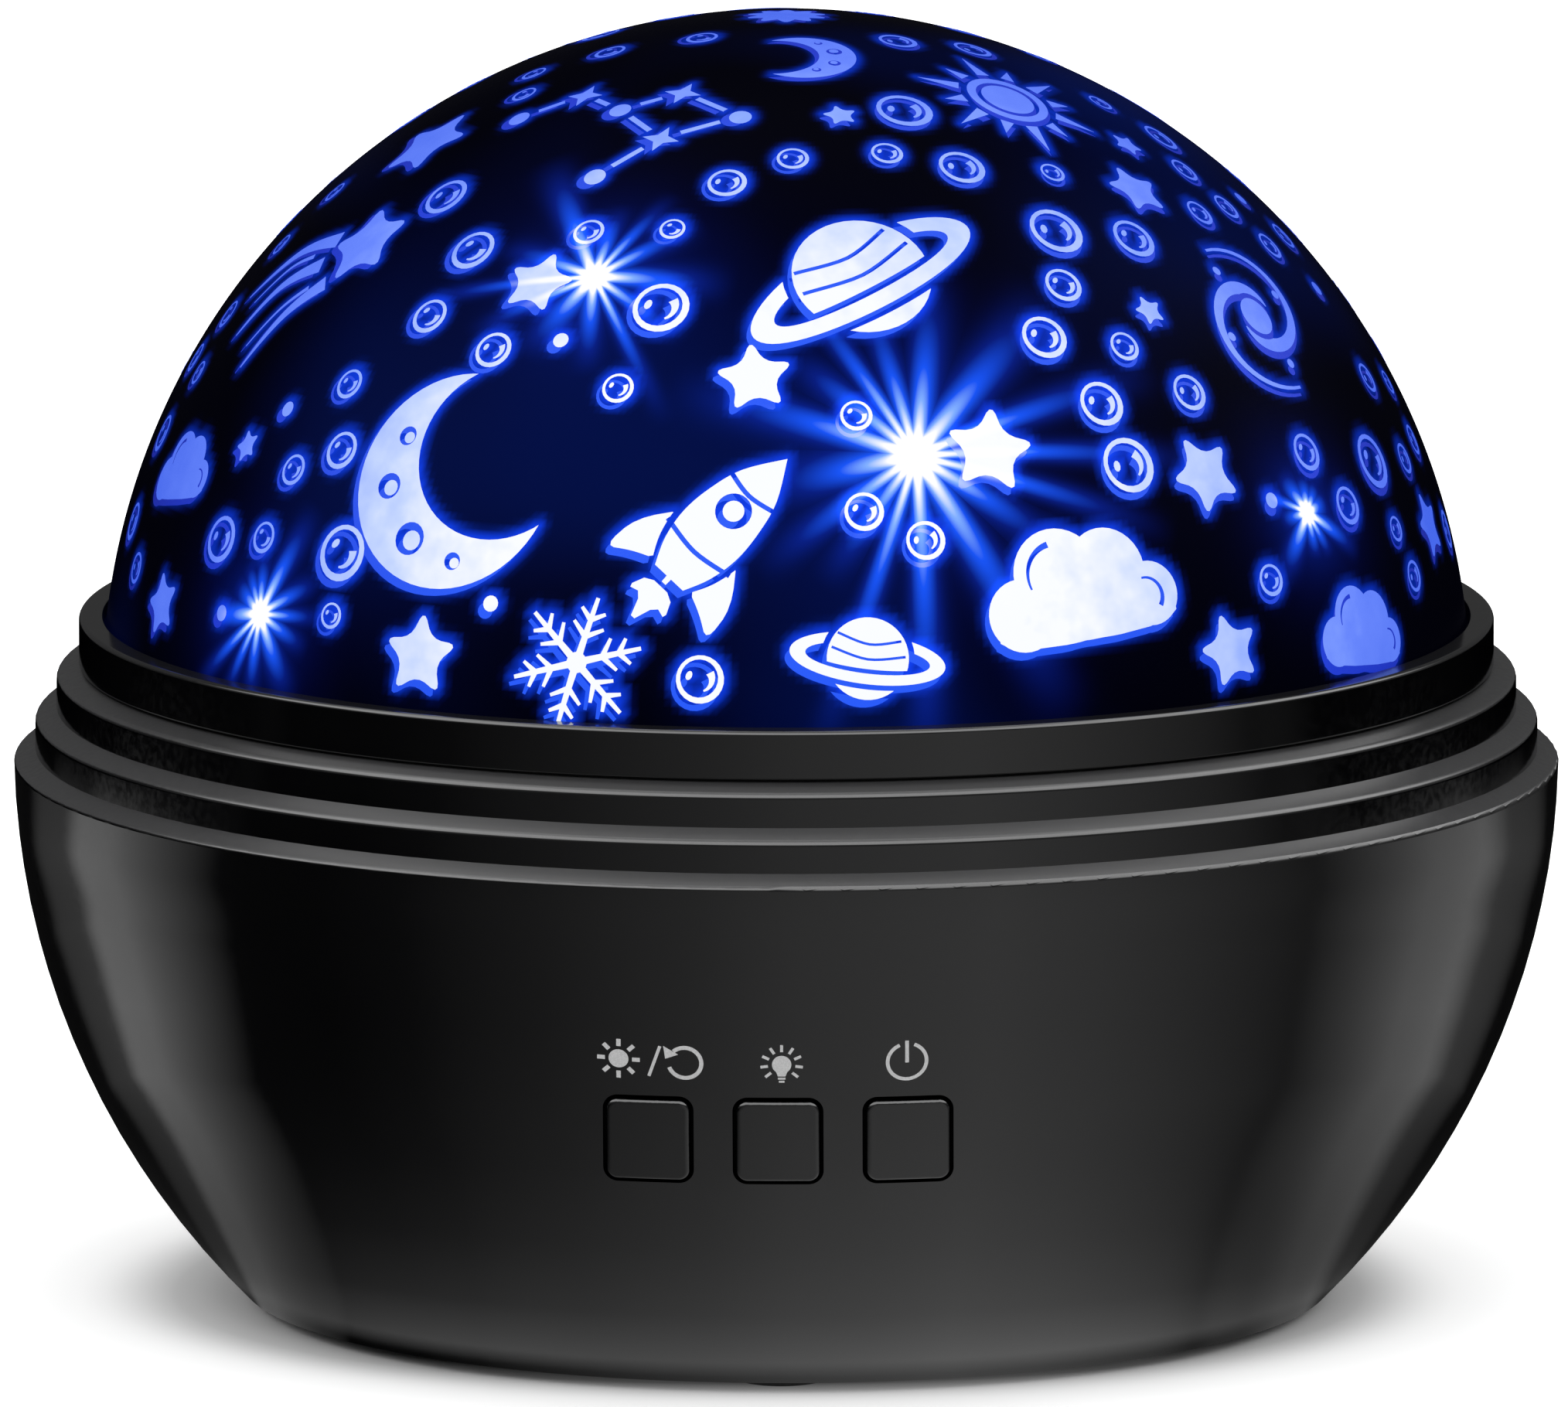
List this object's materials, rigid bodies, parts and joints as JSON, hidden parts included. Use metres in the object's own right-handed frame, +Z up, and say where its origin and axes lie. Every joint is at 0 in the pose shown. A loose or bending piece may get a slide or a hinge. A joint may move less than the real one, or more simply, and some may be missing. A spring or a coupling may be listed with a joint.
{
  "type": "night light projector",
  "caption": "Dome-topped night light projector: a turning printed film dome on a stepped deck over a spherical bowl with push buttons, battery bay and rear power inlet.",
  "frame": {"origin": "on the supporting surface under the middle of the bowl", "axes": "+Z up along the dome's turning axis; the buttons face -Y and the power inlet faces +Y"},
  "size_m": [0.13, 0.13, 0.109],
  "materials": {
    "gloss_black": "polished moulded ABS",
    "satin_black": "fine spark-eroded mould texture",
    "dome_film": "glossy formed film printed in deep blue-black",
    "rubber": "soft matte",
    "cell_can": "plain shrink sleeve over a metal can",
    "spring_steel": "nickel plated",
    "screw_steel": "zinc plated",
    "motor_steel": "drawn can",
    "circuit_board": "solder mask",
    "black_component": "moulded",
    "white_nylon": "natural nylon",
    "contact_brass": "turned",
    "clear_plastic": "clear moulding",
    "led_warm": "cast epoxy",
    "led_red": "cast epoxy",
    "led_green": "cast epoxy",
    "led_blue": "cast epoxy"
  },
  "bodies": {
    "base": {"base_plate": "satin_black", "battery_cell_1": "cell_can", "battery_cell_2": "cell_can", "battery_cell_3": "cell_can", "battery_cell_4": "cell_can", "battery_contacts": "spring_steel", "board_screws": "screw_steel", "bowl_shell": "gloss_black", "case_screws": "screw_steel", "control_board": "circuit_board", "control_chip": "black_component", "deck_cover": "gloss_black", "gearbox_case": "white_nylon", "inlet_board": "circuit_board", "inlet_pin": "contact_brass", "inlet_screws": "screw_steel", "lamp_holder": "satin_black", "led_blue": "led_blue", "led_board": "circuit_board", "led_green": "led_green", "led_red": "led_red", "led_warm": "led_warm", "lens_cap": "clear_plastic", "motor_can": "motor_steel", "motor_screws": "screw_steel", "power_inlet": "black_component", "rubber_foot_1": "rubber", "rubber_foot_2": "rubber", "rubber_foot_3": "rubber", "rubber_foot_4": "rubber", "switch_body_1": "black_component", "switch_body_2": "black_component", "switch_body_3": "black_component"},
    "turntable": {"turntable": "satin_black", "ring_gear": "white_nylon"},
    "pinion": {"drive_pinion": "white_nylon", "motor_shaft": "spring_steel"},
    "film_cap": {"film_dome": "dome_film", "collar_ring": "gloss_black", "clamp_ring": "satin_black"},
    "battery_door": {"battery_door": "satin_black"},
    "button_1": {"button_cap_1": "gloss_black", "switch_plunger_1": "white_nylon"},
    "button_2": {"button_cap_2": "gloss_black", "switch_plunger_2": "white_nylon"},
    "button_3": {"button_cap_3": "gloss_black", "switch_plunger_3": "white_nylon"}
  },
  "joints": [
    {"name": "dome_spin", "type": "hinge", "parent": "base", "child": "turntable", "pos_m": [0, 0, 0.05], "axis": [0, 0, 1], "continuous": true},
    {"name": "pinion_spin", "type": "hinge", "parent": "base", "child": "pinion", "pos_m": [0.03, 0, 0.05], "axis": [0, 0, 1], "continuous": true},
    {"name": "film_lift", "type": "slide", "parent": "turntable", "child": "film_cap", "axis": [0, 0, 1], "range_m": [0, 0.06]},
    {"name": "door_hinge", "type": "hinge", "parent": "base", "child": "battery_door", "pos_m": [0.026, 0, 0.001], "axis": [0, -1, 0], "range_deg": [0, 60]},
    {"name": "button_1_press", "type": "slide", "parent": "base", "child": "button_1", "axis": [0, 1, 0], "range_m": [0, 0.0008], "stiffness_N_per_m": 150},
    {"name": "button_2_press", "type": "slide", "parent": "base", "child": "button_2", "axis": [0, 1, 0], "range_m": [0, 0.0008], "stiffness_N_per_m": 150},
    {"name": "button_3_press", "type": "slide", "parent": "base", "child": "button_3", "axis": [0, 1, 0], "range_m": [0, 0.0008], "stiffness_N_per_m": 150}
  ],
  "couplings": [
    {"joint": "pinion_spin", "follows": "dome_spin", "ratio": 4}
  ]
}
